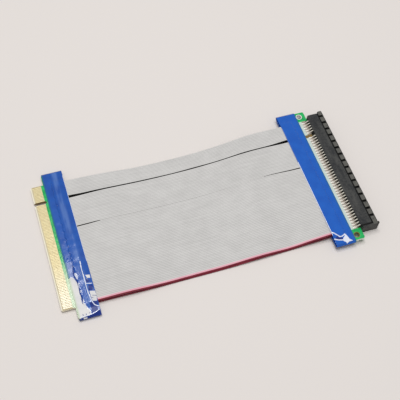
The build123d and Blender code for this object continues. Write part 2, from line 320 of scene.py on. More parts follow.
@dataclass(frozen=True)
class TapeFinish:
    """Glossy polyester film, greener along its outer edge, with a painted sheen along one streak."""

    name: str
    film: Colour
    shade: Colour
    rim: Colour = srgb(40, 108, 128)
    rim_edge: float = -89.25
    rim_socket: float = 79.95
    rim_width: float = 1.5
    rim_share: float = 0.6
    streak: Colour = srgb(112, 146, 206)
    streak_at: float = 300.0
    streak_half: float = 2.4
    streak_share: float = 0.42
    roughness: float = 0.12

    def make(self) -> bpy.types.Material:
        """Builds the material."""
        shader = Shader(self.name)
        x = shader.axis(0)
        clouds = shader.noise(7, 3)
        grain = shader.noise(0.6, 2)
        tone = (clouds * 0.8 + grain * 0.2).step(0.2, 0.75)
        border = 1 - x.step(self.rim_edge, self.rim_edge + self.rim_width)
        border = border + x.step(self.rim_socket - self.rim_width, self.rim_socket)
        # A lighter streak along one line: a painted sheen.
        sheen_mask = 1 - abs(x - self.streak_at).step(self.streak_half * 0.3, self.streak_half)
        sheen_mask = sheen_mask * shader.noise(5, 2, (0.5, 3, 1)).step(0.3, 0.65) * self.streak_share
        colour = sheen_mask.mix(tone.mix(self.shade, self.film), self.streak)
        shader.set("Base Color", (border * self.rim_share).mix(colour, self.rim))
        shader.set("Roughness", self.roughness + grain * 0.06)
        shader.bump(shader.noise(1.3, 3), 0.015)
        return shader.material


@dataclass(frozen=True)
class BoardFinish:
    """Green mask on pale glass laminate, which shows at the edges and where the mask stops, with painted
    glare, painted shade and painted light in places.
    """

    name: str
    bare_from: float
    bare_to: float
    bare_half: float
    bare: Colour
    laminate: Colour
    hole_x: float = 0.0
    hole_y: float = 0.0
    ring: float = 2.0
    ring_far: Colour = srgb(238, 234, 230)
    ring_near: Colour = srgb(128, 122, 62)
    shaded_from: float = 200.0
    shaded_soft: float = 0.3
    shaded: Colour = srgb(44, 42, 28)
    key_y: float = 30.0
    key_half: float = 1.1
    key_bare: Colour = srgb(128, 104, 58)
    faded_from: float = 200.0
    faded_to: float = 300.0
    faded_share: float = 0.8
    faded: Colour = srgb(206, 218, 186)
    dull_from: float = 200.0
    dull_soft: float = 0.1
    dull: Colour = srgb(112, 100, 84)
    mask: Colour = srgb(22, 160, 82)
    mask_light: Colour = srgb(42, 188, 102)
    weave_along: float = 0.5
    weave_across: float = 0.6

    def make(self) -> bpy.types.Material:
        """Builds the material."""
        shader = Shader(self.name)
        x, y = shader.axis(0), shader.axis(1)
        face = abs(shader.axis(2, shader.normal)).step(0.9, 0.97)
        strands = (x * (2 * math.pi / self.weave_along)).sine()
        weave = strands * (y * (2 * math.pi / self.weave_across)).sine()
        clouds = shader.noise(3, 2)
        green = (clouds + weave * 0.04).step(0.35, 0.65).mix(self.mask, self.mask_light)
        # The mask grows paler towards the near side: a painted glare.
        glare_ramp = (0 - y).step(self.faded_from, self.faded_to) * self.faded_share
        green = glare_ramp.mix(green, self.faded)
        inside = (x > self.bare_from) * (x < self.bare_to) * (abs(y) < self.bare_half)
        from_x, from_y = x - self.hole_x, abs(y) - self.hole_y
        reach = (from_x * from_x + from_y * from_y).root()
        ring = (reach < self.ring) * (1 - inside)
        opening = inside + ring
        # In the key gap the laminate takes its bare colour darkened with painted shade.
        keyed = abs(y - self.key_y) < self.key_half
        # Past a set X the bare board is darker: a painted shadow line on the card edge, painted shade
        # between the pins on the socket board.
        dim_shade = x.step(self.dull_from - self.dull_soft, self.dull_from + self.dull_soft)
        bare = keyed.mix(dim_shade.mix(self.bare, self.dull), self.key_bare)
        # Past a set X the bare board takes painted shade, beside the socket's pins.
        start, end = self.shaded_from - self.shaded_soft, self.shaded_from + self.shaded_soft
        bare = x.step(start, end).mix(bare, self.shaded)
        # Rings and walls of the holes: painted light on the far ear, painted shade on the near ear.
        painted_ring = (y > 0).mix(self.ring_near, self.ring_far)
        coated = ring.mix(inside.mix(green, bare), painted_ring)
        fibres = (weave * 0.2 + clouds).step(0.2, 1.0)
        sides = ring.mix(fibres.mix(self.laminate, self.bare), painted_ring)
        sides = keyed.mix(sides, self.key_bare)
        shader.set("Base Color", face.mix(sides, coated))
        shader.set("Roughness", 0.55 - face * (1 - opening) * 0.36)
        shader.bump(weave * 0.5 + clouds, 0.01)
        return shader.material


@dataclass(frozen=True)
class MetalFinish:
    """Plated metal with fine marks along one axis, with painted shade over a stretch of X and a painted
    reflection towards the near side.
    """

    name: str
    bright: Colour
    dull: Colour
    metallic: float
    roughness: float
    stretch: tuple[float, float, float] = (8, 1, 1)
    tarnished_from: float = 200.0
    tarnish: Colour = srgb(96, 86, 66)
    tarnished_to: float = 300.0
    tarnished_soft: float = 0.2
    # Colour of a painted reflection that grows towards the near side.
    pale: Colour = srgb(246, 240, 222)
    pale_from: float = 200.0
    pale_to: float = 300.0
    pale_share: float = 0.6

    def make(self) -> bpy.types.Material:
        """Builds the material."""
        shader = Shader(self.name)
        marks = shader.noise(0.3, 3, self.stretch)
        clouds = shader.noise(2.2, 2)
        tone = (marks * 0.5 + clouds * 0.5).step(0.35, 0.62)
        x = shader.axis(0)
        # Over a stretch of X the metal takes painted shade.
        soft = self.tarnished_soft
        painted_shade_stretch = x.step(self.tarnished_from - soft, self.tarnished_from + soft)
        painted_shade_stretch = painted_shade_stretch * (1 - x.step(self.tarnished_to - soft, self.tarnished_to + soft))
        # Random tone between the bright and the darker plating colour.
        plating = tone.mix(self.dull, self.bright)
        # Paler towards the near side: a painted reflection.
        glare_ramp = (0 - shader.axis(1)).step(self.pale_from, self.pale_to)
        plating = (glare_ramp * self.pale_share).mix(plating, self.pale)
        shader.set("Base Color", painted_shade_stretch.mix(plating, self.tarnish))
        shader.set("Metallic", self.metallic)
        shader.set("Roughness", self.roughness + marks * 0.15)
        shader.bump(marks, 0.01)
        return shader.material


@dataclass(frozen=True)
class MouldedFinish:
    """Dark glass-filled plastic, with a painted highlight on the rim tops and painted shade in the slot,
    its grooves and along the mouth's edge.
    """

    name: str = "socket_plastic"
    plastic: Colour = srgb(36, 38, 41)
    flow: Colour = srgb(75, 75, 73)
    rubbed: Colour = srgb(98, 97, 91)
    rubbed_share: float = 0.85
    lip: Colour = srgb(30, 30, 26)
    pit: Colour = srgb(14, 14, 13)
    rim_from: float = 93.75
    rim_to: float = 96.2
    middle: float = 3.75
    face_height: float = 3.75
    pit_height: float = 2.95
    inside_from: float = 86.3
    inside_to: float = 96.7
    inside_near: float = -43.0
    inside_far: float = 44.2
    seam_near: float = -42.7
    seam_half: float = 0.75
    seam_low: float = 2.6
    seam_high: float = 2.9
    lip_from: float = 96.35

    def make(self) -> bpy.types.Material:
        """Builds the material."""
        shader = Shader(self.name)
        x, z = shader.axis(0), shader.axis(2)
        flow = shader.noise(4, 3, (1, 3, 1))
        specks = shader.noise(0.25, 2)
        patches = shader.noise(0.9, 2)
        body = (flow * 0.5 + specks * 0.2 + patches * 0.3).step(0.35, 0.65)
        body = body.mix(self.plastic, self.flow)
        y, height = shader.axis(1), abs(z - self.middle)
        flat = height.step(self.face_height - 0.2, self.face_height - 0.02)
        strip = x.step(self.rim_from, self.rim_from + 0.4) * (1 - x.step(self.rim_to, self.rim_to + 0.2))
        # Flat rim tops take a painted highlight in patches.
        rim_highlight_mask = strip * flat * shader.noise(1.4, 3).step(0.2, 0.5)
        within = (x > self.inside_from) * (x < self.inside_to)
        within = within * (y > self.inside_near) * (y < self.inside_far)
        # Inside the slot and along the groove at the near end the plastic takes painted shade.
        pit_shade_mask = within * (1 - height.step(self.pit_height - 0.1, self.pit_height + 0.05))
        seam = (abs(y - self.seam_near) < self.seam_half) * (x < self.rim_from)
        pit_shade_mask = pit_shade_mask + (1 - pit_shade_mask) * seam * height.step(self.seam_low, self.seam_high)
        # Past the mouth's edge the plastic takes painted shade.
        body = x.step(self.lip_from, self.lip_from + 0.2).mix(body, self.lip)
        body = (rim_highlight_mask * self.rubbed_share).mix(body, self.rubbed)
        shader.set("Base Color", pit_shade_mask.mix(body, self.pit))
        shader.set("Roughness", 0.55 + specks * 0.15 - rim_highlight_mask * 0.1)
        shader.bump(specks + flow * 0.3, 0.03)
        return shader.material


@dataclass(frozen=True)
class FloorFinish:
    """Plain pale paper."""

    name: str = "pale_paper"
    colour: Colour = srgb(229, 223, 219)

    def make(self) -> bpy.types.Material:
        """Builds the material."""
        shader = Shader(self.name)
        shader.set("Base Color", self.colour)
        shader.set("Roughness", 0.9)
        shader.set("Specular IOR Level", 0.1)
        return shader.material


def make_piece(
    name: str,
    points: np.ndarray,
    faces: Iterable[Sequence[int]],
    materials: Sequence[bpy.types.Material],
    numbers: Optional[Sequence[int]] = None,
    smooth: bool = True,
) -> bpy.types.Object:
    """Makes a mesh object from points in millimetres.

    Args:
        name: The piece's name.
        points: Its corners, one row each.
        faces: The corners of each face, by number.
        materials: Its materials.
        numbers: The material number of each face, if there are several.
        smooth: Whether the faces are shaded smooth.

    Returns:
        The new object, linked to the scene.
    """
    mesh = bpy.data.meshes.new(name)
    mesh.from_pydata((np.asarray(points) * MM).tolist(), [], [tuple(f) for f in faces])
    for material in materials:
        mesh.materials.append(material)
    if numbers is not None:
        mesh.polygons.foreach_set("material_index", list(numbers))
    mesh.polygons.foreach_set("use_smooth", [smooth] * len(mesh.polygons))
    mesh.update()
    piece = bpy.data.objects.new(name, mesh)
    bpy.context.scene.collection.objects.link(piece)
    return piece


def seat(piece: bpy.types.Object, slot: str, *nodes: str) -> None:
    """Fixes a new piece to the riser, hides the nodes that it replaces and logs its face count.

    Args:
        piece: The piece.
        slot: Not used.
        nodes: The nodes that it replaces.
    """
    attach(piece, BODY)
    if nodes:
        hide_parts(*nodes)
    LOG.info("%s: %d faces", piece.name, len(piece.data.polygons))


def dress(node: str, material: bpy.types.Material, bevel: float = 0.0) -> None:
    """Gives a node of the frame its finish, and rounds its edges.

    Args:
        node: The node's name.
        material: Its finish.
        bevel: Width of the rounding, in millimetres, or 0 for none.
    """
    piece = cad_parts[node]
    piece.data.materials.clear()
    piece.data.materials.append(material)
    if bevel:
        rounding = piece.modifiers.new("rounding", "BEVEL")
        rounding.width = bevel * MM
        rounding.segments = 2
        rounding.limit_method = "ANGLE"
        rounding.angle_limit = math.radians(30)
        rounding.harden_normals = True
    LOG.info("%s: %s", node, material.name)


def box_of(node: str) -> tuple[np.ndarray, np.ndarray]:
    """Lowest and highest corner of a node, in millimetres."""
    low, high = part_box(node)
    return np.array(low) / MM, np.array(high) / MM


def grid_faces(rows: int, columns: int, closed: bool = False) -> list[tuple[int, ...]]:
    """Faces of a grid of points, row after row.

    Args:
        rows: Number of rows.
        columns: Number of points in a row.
        closed: Whether the last point of a row joins the first.

    Returns:
        Four corners for each face.
    """
    span = columns if closed else columns - 1
    faces = []
    for row in range(rows - 1):
        for column in range(span):
            after = (column + 1) % columns
            start, above = row * columns, (row + 1) * columns
            faces.append((start + column, start + after, above + after, above + column))
    return faces


@dataclass
class ContactGrid:
    """Where the contacts stand across the riser, in two sections with the key between."""

    pitch: float = 1.0
    short_count: int = 11
    long_count: int = 71
    key_step: float = 3.0

    def places(self) -> np.ndarray:
        """Y of every contact, from the short section on."""
        half = (self.pitch * (self.short_count + self.long_count - 2) + self.key_step) / 2
        short = half - self.pitch * np.arange(self.short_count)
        long = short[-1] - self.key_step - self.pitch * np.arange(self.long_count)
        return np.concatenate([short, long])


@dataclass
class Ripples:
    """Gentle unevenness made of a few crossed waves, the same each time."""

    seed: int
    shortest: float
    longest: float
    count: int = 7

    def height(self, x: np.ndarray, y: np.ndarray) -> np.ndarray:
        """Height at each place, mostly between -1 and 1."""
        chance = np.random.default_rng(self.seed)
        total = np.zeros(np.broadcast(x, y).shape)
        for _ in range(self.count):
            turn = chance.uniform(0, math.pi)
            length = chance.uniform(self.shortest, self.longest)
            phase = chance.uniform(0, 2 * math.pi)
            along = x * math.cos(turn) + y * math.sin(turn)
            total += np.sin(2 * math.pi * along / length + phase)
        return total / math.sqrt(self.count)


class Insulation(Enum):
    """What a strip of a ribbon's surface is: a place in its list of materials. The web strips and the
    slit sides carry painted shade, and the marked wire a painted light half and a painted shade half.
    """

    CREST = 0
    WEB = 1
    SLIT_SIDE = 2
    MARKED_LIT = 3
    MARKED_SHADED = 4


@dataclass
class Ribbon:
    """A flat ribbon of round conductors side by side, along the route of its solid.

    A draw is a place along X, its reach and how far the near edge moves outwards there. A sag is
    a place along X, its reach and how much lower the near side hangs there.
    """

    node: str
    conductors: int
    marked: bool
    stations: int = 130
    points_each: int = 4
    web_dip: float = 0.2
    roundness: float = 0.75
    blur: float = 3.5
    ripple_height: float = 0.1
    closes_far: bool = False
    closes_near: bool = False
    closes_after: tuple[float, float] = (16.0, 25.0)
    opens_before: tuple[float, float] = (40.0, 22.0)
    shut: float = 0.6
    free_after: tuple[float, float] = (14.0, 40.0)
    # Which sides face a slit, and over how many faces, take painted shade.
    slit_far: bool = False
    slit_near: bool = False
    slit_depth: int = 0
    slit_lip: int = 0
    draws: tuple[tuple[float, float, float], ...] = ()
    seam: float = 8.0
    marked_extra: float = 0.5
    sags: tuple[tuple[float, float, float], ...] = ()
    sag_from: float = 12.0
    lowest: float = 0.02
    ripples: Ripples = field(default_factory=lambda: Ripples(11, 35, 70, 5))

    def _route(self) -> tuple[np.ndarray, ...]:
        """Stations along X with the far edge, near edge, top and underside at each."""
        low, high = box_of(self.node)
        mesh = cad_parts[self.node].data
        corners = [vertex.co / MM for vertex in mesh.vertices]
        solid = BVHTree.FromPolygons(corners, [tuple(face.vertices) for face in mesh.polygons])
        inset = 0.02
        xs = np.linspace(low[0] + inset, high[0] - inset, self.stations)
        middle = (low[1] + high[1]) / 2
        away = 100.0
        rows = []
        for x in xs:
            top = solid.ray_cast(Vector((x, middle, away)), Vector((0, 0, -1)))[0].z
            under = solid.ray_cast(Vector((x, middle, -away)), Vector((0, 0, 1)))[0].z
            height = (top + under) / 2
            far = solid.ray_cast(Vector((x, away, height)), Vector((0, -1, 0)))[0].y
            near = solid.ray_cast(Vector((x, -away, height)), Vector((0, 1, 0)))[0].y
            rows.append((far, near, top, under))
        step = xs[1] - xs[0]
        reach = int(3 * self.blur / step)
        kernel = np.exp(-((np.arange(-reach, reach + 1) * step / self.blur) ** 2) / 2)
        kernel /= kernel.sum()
        columns = []
        for column in np.array(rows).T:
            padded = np.pad(column, reach, mode="edge")
            columns.append(np.convolve(padded, kernel, mode="valid"))
        return xs, *columns

    def _numbers(self, across: int, count: int, closed: np.ndarray) -> list[int]:
        """Material of each face, as a number in the ribbon's list of materials.

        Args:
            across: Number of faces over the ribbon's width.
            count: Number of faces around it.
            closed: How far the seam is closed at each station.

        Returns:
            The material number of each face.
        """
        crest, web_shade, slit_shade, painted_lit, shaded = (part.value for part in Insulation)
        each = self.points_each
        ring = []
        for column in range(count):
            place = column if column < across else count - 2 - column
            # Faces beside each valley take painted shade between the conductors.
            ring.append(web_shade if place % each in (0, each - 1) else crest)
        ring[across] = ring[count - 1] = crest
        if self.marked:
            edge = across - each
            for column in range(edge - 1, edge + 2 * each + 1):
                # The marked wire's far half takes a painted light copy of its red, the rest a painted
                # shade copy.
                ring[column] = painted_lit if column < edge + each // 2 else shaded
        numbers = []
        for station in range(self.stations - 1):
            row = list(ring)
            shut = closed[station] > self.shut
            # Sides along an open slit take painted shade.
            if self.slit_near and not (self.closes_near and shut):
                lip = max(self.slit_depth, self.slit_lip)
                row[across - lip : across + 1] = [slit_shade] * (lip + 1)
            if self.slit_far and not (self.closes_far and shut):
                row[: self.slit_depth] = [slit_shade] * self.slit_depth
                row[count - 1] = slit_shade
            numbers += row
        return numbers + [crest] * (2 * across)

    def make(self, materials: Sequence[bpy.types.Material]) -> bpy.types.Object:
        """Builds the ribbed mesh.

        Args:
            materials: A finish for each kind of insulation, in its order.

        Returns:
            The ribbon.
        """
        xs, far, near, top, under = self._route()
        closing = [xs[0] + after for after in self.closes_after]
        opening = [xs[-1] - before for before in self.opens_before]
        closed = ease(xs, *closing) * (1 - ease(xs, *opening))
        far = far + self.closes_far * closed * (self.seam - far)
        near = near + self.closes_near * closed * (self.seam - near)
        for place, reach, amount in self.draws:
            near = near - amount * np.exp(-(((xs - place) / reach) ** 2))
        across = self.conductors * self.points_each
        share = np.arange(across + 1) / across
        wave = np.abs(np.sin(math.pi * self.conductors * share)) ** self.roundness
        dip = self.web_dip * (1 - wave)
        x = xs[:, None] + 0 * share
        last = np.clip(share * self.conductors - self.conductors + 1, 0, 1)
        y = far[:, None] + (near - far)[:, None] * share - self.marked * self.marked_extra * last
        held, loose = self.free_after
        free = ease(xs, xs[0] + held, xs[0] + loose) * ease(-xs, -xs[-1] + held, -xs[-1] + loose)
        lift = self.ripple_height * free[:, None] * (1 + self.ripples.height(x, y) / 2)
        sag = sum(depth * np.exp(-(((xs - at) / reach) ** 2)) for at, reach, depth in self.sags)
        lift = lift - np.reshape(sag, (-1, 1)) * ease(-y, self.sag_from, -near.min())
        lift = np.maximum(lift, self.lowest - under[:, None])
        upper = top[:, None] + lift - dip
        lower = under[:, None] + lift + dip
        ring_x = np.concatenate([x, x[:, ::-1]], axis=1)
        ring_y = np.concatenate([y, y[:, ::-1]], axis=1)
        ring_z = np.concatenate([upper, lower[:, ::-1]], axis=1)
        points = np.stack([ring_x, ring_y, ring_z], axis=-1).reshape(-1, 3)
        count = 2 * (across + 1)
        faces = grid_faces(self.stations, count, closed=True)
        end = (self.stations - 1) * count
        for i in range(across):
            faces.append((i, count - 1 - i, count - 2 - i, i + 1))
            faces.append((end + i, end + i + 1, end + count - 2 - i, end + count - 1 - i))
        name = self.node.replace("ribbon", "ribbed")
        used = materials if self.marked else materials[: Insulation.MARKED_LIT.value]
        piece = make_piece(name, points, faces, used, self._numbers(across, count, closed))
        seat(piece, "ribbon", self.node)
        return piece


Outline = tuple[tuple[float, float], ...]


class FilmState(Enum):
    """What a stretch of tape looks like: plain film, or film with painted shade, a painted highlight, a
    painted reflection or a painted sheen.
    """

    SINGLE = 0
    DOUBLED = 1
    MILKY = 2
    FROSTED = 3
    HAZED = 4


@dataclass(frozen=True)
class Crease:
    """A fold in a tape along a line, which bends the film and gives a band along it the painted light or
    painted shade of its film state.
    """

    points: Outline
    height: float
    width: float
    mark: float = 0.0
    state: FilmState = FilmState.MILKY

    def distance(self, x: np.ndarray, y: np.ndarray) -> np.ndarray:
        """Distance of each place from the line."""
        nearest = np.full(x.shape, np.inf)
        for start, end in zip(self.points, self.points[1:]):
            run = np.subtract(end, start)
            share = ((x - start[0]) * run[0] + (y - start[1]) * run[1]) / (run @ run)
            share = np.clip(share, 0, 1)
            gap = np.hypot(x - start[0] - share * run[0], y - start[1] - share * run[1])
            nearest = np.minimum(nearest, gap)
        return nearest

    def lift(self, x: np.ndarray, y: np.ndarray) -> np.ndarray:
        """What the crease adds to the tape's height at each place."""
        return self.height * np.exp(-((self.distance(x, y) / self.width) ** 2))

    def states(self, x: np.ndarray, y: np.ndarray) -> tuple[np.ndarray, FilmState]:
        """Which places take the crease's look."""
        return self.distance(x, y) < self.mark, self.state


@dataclass(frozen=True)
class Facet:
    """A patch of tape with its own tilt and its own film state, which paints light or shade over it."""

    outline: Outline
    state: FilmState
    tilt: tuple[float, float] = (0.0, 0.0)
    softness: float = 0.5

    def _inside(self, x: np.ndarray, y: np.ndarray) -> np.ndarray:
        """Which places lie inside the outline."""
        inside = np.zeros(x.shape, bool)
        for (x0, y0), (x1, y1) in zip(self.outline, self.outline[1:] + self.outline[:1]):
            if y0 == y1:
                continue
            crossing = x0 + (y - y0) / (y1 - y0) * (x1 - x0)
            inside ^= ((y0 > y) != (y1 > y)) & (x < crossing)
        return inside

    def lift(self, x: np.ndarray, y: np.ndarray) -> np.ndarray:
        """What the facet adds to the tape's height at each place."""
        if not any(self.tilt):
            return np.zeros(x.shape)
        edge = Crease(self.outline + self.outline[:1], 0, 1).distance(x, y)
        share = self._inside(x, y) * ease(edge, 0, self.softness)
        middle = np.mean(self.outline, axis=0)
        return share * (self.tilt[0] * (x - middle[0]) + self.tilt[1] * (y - middle[1]))

    def states(self, x: np.ndarray, y: np.ndarray) -> tuple[np.ndarray, FilmState]:
        """Which places take the facet's look."""
        return self._inside(x, y), self.state


Fold = Union[Crease, Facet]


@dataclass
class Tape:
    """Polyester tape pressed over a row of soldered joints, from the board onto the ribbons."""

    end: End
    layer: Layer
    grid: ContactGrid
    folds: tuple[Fold, ...] = ()
    step: float = 0.25
    film: float = 0.1
    board_level: float = 1.15
    board_reach: tuple[float, float] = (0.2, 1.2)
    joint_level: float = 1.2
    ribbon_level: float = 1.65
    crest_level: float = 1.9
    inner_level: float = 1.62
    step_at: float = 4.45
    step_width: float = 0.55
    step_waves: tuple[tuple[float, float, float], ...] = ((0.22, 1.25, 1.0), (0.12, 2.3, 0.0))
    step_shift: float = 3.0
    shift_side: tuple[float, float] = (41.0, 48.0)
    crest_at: float = 8.6
    bump_height: float = 0.12
    bump_least: float = 0.08
    bump_side: tuple[float, float] = (5.0, 22.0)
    bump_spread: tuple[float, float] = (-0.2, 0.3)
    bump_along: float = 0.4
    bump_across: float = 0.6
    bump_reach: float = 1.5
    bump_seed: int = 5
    ribbon_side: float = 42.2
    slope_side: float = 45.6
    board_end: float = 49.7
    board_lap: float = 0.1
    wrinkle: float = 0.012
    wrinkles: Ripples = field(default_factory=lambda: Ripples(3, 4, 11))
    slant: float = 0.0
    slant_reach: tuple[float, float] = (8.5, 12.7)
    floor_level: float = 0.0

    @property
    def node(self) -> str:
        """The node that this tape stands for."""
        return f"{self.end.value}_tape_{self.layer.word}"

    def _height(self, u: np.ndarray, x: np.ndarray, y: np.ndarray, half: float) -> np.ndarray:
        """Height of the outer face over the board's middle plane.

        Args:
            u: Distance from the tape's outer edge.
            x: X of each point.
            y: Y of each point.
            half: Half of the tape's length.

        Returns:
            The height at each point.
        """
        chance = np.random.default_rng(self.bump_seed)
        side = np.abs(y)
        wavy = sum(size * np.sin(y * rate + phase) for size, rate, phase in self.step_waves)
        border = self.step_at + wavy + self.step_shift * ease(side, *self.shift_side)
        level = self.board_level + (self.joint_level - self.board_level) * ease(u, *self.board_reach)
        rise = ease(u, border - self.step_width / 2, border + self.step_width / 2)
        slope = np.interp(
            u,
            (self.step_at, self.crest_at, u.max()),
            (self.ribbon_level, self.crest_level, self.inner_level),
        )
        level += (slope - self.joint_level) * rise
        for place in self.grid.places():
            at = self.step_at + chance.uniform(*self.bump_spread)
            growth = self.bump_least + (1 - self.bump_least) * ease(-place, *self.bump_side)
            tall = self.bump_height * chance.uniform(0, 1) ** 2 * growth
            close = np.abs(y[:, 0] - place) < self.bump_reach
            along = (u[close] - at) / self.bump_along
            across = (y[close] - place) / self.bump_across
            level[close] += tall * np.exp(-(along**2 + across**2))
        over = 1 - ease(side, self.ribbon_side, self.slope_side)
        height = self.joint_level + over * (level - self.joint_level)
        height += self.wrinkle * self.wrinkles.height(x, y) * ease(u, 0, 2)
        for fold in self.folds:
            height += fold.lift(x, y)
        start = self.board_end - self.board_lap - self.slant * ease(u, *self.slant_reach) * (y < 0)
        return self.film + (height - self.film) * (1 - ease(side, start, half))

    def _numbers(self, x: np.ndarray, y: np.ndarray) -> list[int]:
        """Material of each face of the outer skin."""
        middle_x = (x[:-1, :-1] + x[1:, 1:]) / 2
        middle_y = (y[:-1, :-1] + y[1:, 1:]) / 2
        numbers = np.zeros(middle_x.shape, int)
        for fold in self.folds:
            mask, state = fold.states(middle_x, middle_y)
            numbers[mask] = state.value
        return numbers.ravel().tolist()

    def make(self, finishes: Sequence[bpy.types.Material]) -> bpy.types.Object:
        """Builds the tape as a thin closed skin.

        Args:
            finishes: The tape's finish in each state of the film: plain, painted shade, painted
                highlight, painted reflection and painted sheen.

        Returns:
            The tape.
        """
        low, high = box_of(self.node)
        outer, inner = (low[0], high[0]) if self.end is End.EDGE else (high[0], low[0])
        middle = low[2] if self.layer is Layer.TOP else high[2]
        half = (high[1] - low[1]) / 2
        width = abs(inner - outer)
        columns = int(round(width / self.step)) + 1
        rows = int(round(2 * half / self.step)) + 1
        u, y = np.meshgrid(np.linspace(0, width, columns), np.linspace(half, -half, rows))
        x = outer + np.sign(inner - outer) * u
        height = self._height(u, x, y, half)
        room = middle - self.floor_level
        if self.layer is Layer.BOTTOM:
            height = np.minimum(height, room)
        side = self.layer.value
        outside = np.stack([x, y, middle + side * height], axis=-1).reshape(-1, 3)
        inside = outside - np.array([0, 0, side * self.film])
        faces = grid_faces(rows, columns)
        count = rows * columns
        rim = list(range(columns))
        rim += [row * columns + columns - 1 for row in range(1, rows)]
        rim += [count - 1 - i for i in range(1, columns)]
        rim += [row * columns for row in range(rows - 2, 0, -1)]
        walls = [(a, b, b + count, a + count) for a, b in zip(rim, rim[1:] + rim[:1])]
        under = [tuple(i + count for i in reversed(face)) for face in faces]
        turned = (self.end is End.SOCKET) != (self.layer is Layer.BOTTOM)
        everything = faces + under + [tuple(reversed(wall)) for wall in walls]
        if not turned:
            everything = [tuple(reversed(face)) for face in everything]
        points = np.concatenate([outside, inside])
        numbers = self._numbers(x, y)
        numbers += [FilmState.SINGLE.value] * (len(everything) - len(numbers))
        piece = make_piece(f"{self.node}_film", points, everything, finishes, numbers)
        seat(piece, "tape", self.node)
        return piece


@dataclass
class SolderRow:
    """A row of small solder domes, one at each contact."""

    name: str
    places: np.ndarray
    start: float
    length: float
    base: float
    side: int
    height: float
    width: float = 0.72
    lengths: tuple[float, float] = (0.9, 1.05)
    heights: tuple[float, float] = (0.75, 1.1)
    blunt: float = 0.02
    along: int = 9
    around: int = 9

    def make(self, finish: bpy.types.Material, *nodes: str) -> bpy.types.Object:
        """Builds all the domes as one piece.

        Args:
            finish: Finish of the solder.
            nodes: The nodes that the row replaces.

        Returns:
            The row.
        """
        chance = np.random.default_rng(len(self.name))
        share = np.linspace(0, 1, self.along)
        angle = np.linspace(0, math.pi, self.around)
        taper = np.sqrt(np.sin(math.pi * np.clip(share, self.blunt, 1 - self.blunt)))
        points, faces = [], []
        for place in self.places:
            stretch = chance.uniform(*self.lengths)
            tall = self.height * chance.uniform(*self.heights)
            base = len(points)
            for s, size in zip(share, taper):
                for a in angle:
                    points.append((
                        self.start + self.length * stretch * s,
                        place + self.width / 2 * size * math.cos(a),
                        self.base + self.side * tall * size * math.sin(a),
                    ))
            ring = grid_faces(self.along, self.around, closed=True)
            faces += [tuple(base + i for i in face) for face in ring]
            first = [base + i for i in range(self.around)]
            last = [base + (self.along - 1) * self.around + i for i in range(self.around)]
            faces += [tuple(reversed(first)), tuple(last)]
        if self.side > 0:
            faces = [tuple(reversed(face)) for face in faces]
        piece = make_piece(self.name, np.array(points), faces, [finish])
        seat(piece, "tin", *nodes)
        return piece


@dataclass
class CavityWalls:
    """Thin walls between the contacts in the socket's slot."""

    grid: ContactGrid
    thickness: float = 0.2
    front: float = 95.65
    back: float = 88.95
    middle: float = 3.75
    inner: float = 0.9
    outer: float = 2.25
    lead_rise: float = 0.25
    lead_depth: float = 0.4

    def make(self, finish: bpy.types.Material) -> bpy.types.Object:
        """Builds the walls above and below the slot.

        Args:
            finish: Finish of the socket's plastic.

        Returns:
            The walls as one piece.
        """
        places = self.grid.places()
        gaps = [(a + b) / 2 for a, b in zip(places, places[1:]) if a - b < 1.5 * self.grid.pitch]
        points, faces = [], []
        for y in gaps:
            for side in (1, -1):
                base = len(points)
                for dy in (-self.thickness / 2, self.thickness / 2):
                    points += [
                        (self.back, y + dy, self.middle + side * self.outer),
                        (self.front, y + dy, self.middle + side * self.outer),
                        (self.front, y + dy, self.middle + side * (self.inner + self.lead_rise)),
                        (self.front - self.lead_depth, y + dy, self.middle + side * self.inner),
                        (self.back, y + dy, self.middle + side * self.inner),
                    ]
                count = 5
                first = [base + i for i in range(count)]
                second = [base + count + i for i in range(count)]
                shell = [tuple(first), tuple(reversed(second))]
                for i in range(count):
                    after = (i + 1) % count
                    shell.append((first[after], first[i], second[i], second[after]))
                faces += [tuple(reversed(face)) for face in shell] if side > 0 else shell
        piece = make_piece("cavity_walls", np.array(points), faces, [finish], smooth=False)
        seat(piece, "housing")
        return piece


@dataclass(frozen=True)
class Viewpoint:
    """The camera, at the angle of the photograph."""

    azimuth: float = 22.43
    elevation: float = 57.71
    roll: float = -4.95
    distance: float = 483.15
    target: tuple[float, float, float] = (0.3, 6.45, 0.0)
    focal_pixels: float = 782.1
    frame_pixels: float = 400.0
    sensor: float = 36.0

    def make(self) -> None:
        """Places the camera and makes it the scene's."""
        turn, lean = math.radians(self.azimuth), math.radians(self.elevation)
        forward = Vector((
            math.sin(turn) * math.cos(lean),
            math.cos(turn) * math.cos(lean),
            -math.sin(lean),
        ))
        right = forward.cross(Vector((0, 0, 1))).normalized()
        down = forward.cross(right)
        tilt = math.radians(self.roll)
        across = right * math.cos(tilt) + down * math.sin(tilt)
        upward = right * math.sin(tilt) - down * math.cos(tilt)
        axes = Matrix((across, upward, -forward)).transposed()
        data = bpy.data.cameras.new("viewpoint")
        data.sensor_width = self.sensor
        data.lens = self.focal_pixels / self.frame_pixels * self.sensor
        data.clip_start = 0.01
        camera = bpy.data.objects.new("viewpoint", data)
        place = (Vector(self.target) - forward * self.distance) * MM
        camera.matrix_world = Matrix.Translation(place) @ axes.to_4x4()
        bpy.context.scene.collection.objects.link(camera)
        bpy.context.scene.camera = camera


